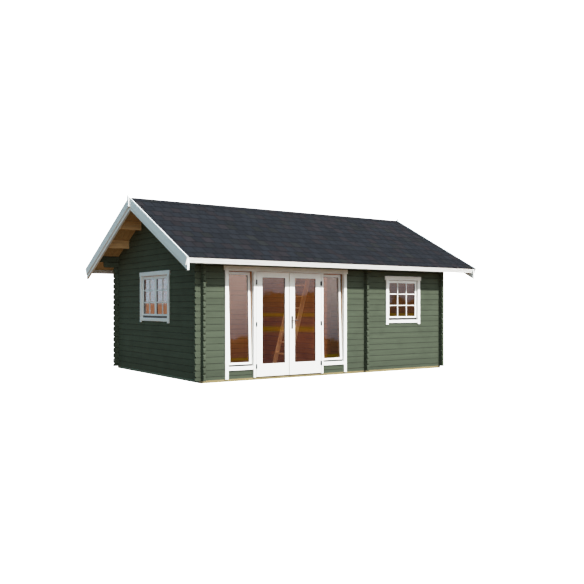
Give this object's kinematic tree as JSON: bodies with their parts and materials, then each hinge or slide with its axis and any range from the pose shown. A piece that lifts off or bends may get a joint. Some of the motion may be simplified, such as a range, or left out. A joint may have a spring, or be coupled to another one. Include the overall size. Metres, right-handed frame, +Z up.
{
  "type": "log cabin",
  "caption": "Garden log cabin with interlocking log walls, a pitched shingle roof with wide eaves, a glazed double door between tall side windows, and small paned windows.",
  "frame": {"origin": "middle of the footprint on the ground under the foundation beams", "axes": "+X along the front wall to the right, +Y from the front wall to the rear wall, +Z up; the doors open towards -Y"},
  "size_m": [6.881, 4.9736, 3.455],
  "materials": {
    "green_log": "green grey wood stain with fine grain",
    "white_paint": "smooth white paint",
    "pale_beam": "pale bare timber",
    "dark_beam": "dark green treated timber",
    "pine": "bare pine boards",
    "shingle": "mineral surfaced bitumen shingles",
    "glass": "clear double glazing, slightly dark",
    "seal": "dark weather strip",
    "hinge_metal": "dull dark zinc",
    "handle_metal": "satin metal"
  },
  "bodies": {
    "cabin": {"long_beams": "pale_beam", "cross_beams": "dark_beam", "floor_boards": "pine", "loft_ladder": "pine", "front_wall_left": "green_log", "front_wall_over_door": "green_log", "front_wall_right": "green_log", "front_panel_logs": "green_log", "rear_wall": "green_log", "left_gable_wall": "green_log", "right_gable_wall": "green_log", "partition_sides": "green_log", "partition_over_door": "green_log", "purlins": "pine", "roof_boards": "pine", "shingles": "shingle", "ridge_cap": "shingle", "fascias": "white_paint", "verge_boards": "white_paint", "bargeboards": "white_paint", "verge_caps": "white_paint", "finials": "white_paint", "entrance_posts": "white_paint", "entrance_head": "white_paint", "door_sill": "pale_beam", "side_window_sills": "white_paint", "entrance_trims": "white_paint", "side_window_sashes": "white_paint", "side_window_glass": "glass", "window_strips": "seal", "front_window_frame": "white_paint", "front_window_sash": "white_paint", "front_window_glass": "glass", "front_window_trims": "white_paint", "gable_window_frame": "white_paint", "gable_window_sashes": "white_paint", "gable_window_glass": "glass", "gable_window_trims": "white_paint"},
    "left_door": {"left_door_leaf": "white_paint", "left_door_glass": "glass", "left_door_hinges": "hinge_metal"},
    "right_door": {"right_door_leaf": "white_paint", "right_door_glass": "glass", "right_door_hinges": "hinge_metal", "door_handle": "handle_metal"}
  },
  "joints": [
    {"name": "left_door_hinge", "type": "hinge", "parent": "cabin", "child": "left_door", "pos_m": [-1.787, -1.976, 0], "axis": [0, 0, -1], "range_deg": [0, 110]},
    {"name": "right_door_hinge", "type": "hinge", "parent": "cabin", "child": "right_door", "pos_m": [-0.327, -1.976, 0], "axis": [0, 0, 1], "range_deg": [0, 110]}
  ]
}
